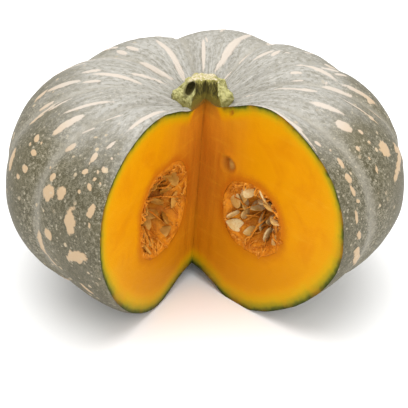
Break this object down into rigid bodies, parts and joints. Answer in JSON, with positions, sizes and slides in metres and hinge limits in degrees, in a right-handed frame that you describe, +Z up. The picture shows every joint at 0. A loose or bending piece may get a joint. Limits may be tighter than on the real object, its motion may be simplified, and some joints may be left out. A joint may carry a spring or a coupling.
{
  "type": "kabocha squash",
  "caption": "Ribbed grey-green kabocha squash with a wedge cut out of its front, showing orange flesh, a seed cavity with seeds and pulp, and a corky stub of stem.",
  "frame": {"origin": "under the middle of the whole squash, on the plane that it stands on", "axes": "+Z up towards the stem, -Y towards the side with the missing wedge, +X to the right as seen from there"},
  "size_m": [0.2696, 0.2538, 0.1572],
  "materials": {
    "rind": "matt waxy grey-green rind with cream flecks, and moist orange flesh on the cut faces",
    "cork": "dry pale green cork, dark olive where it is cut",
    "pulp": "moist orange fibres with cream seeds"
  },
  "bodies": {
    "root": {"rind_and_flesh": "rind", "stem": "cork", "seed_mass": "pulp"}
  },
  "joints": []
}
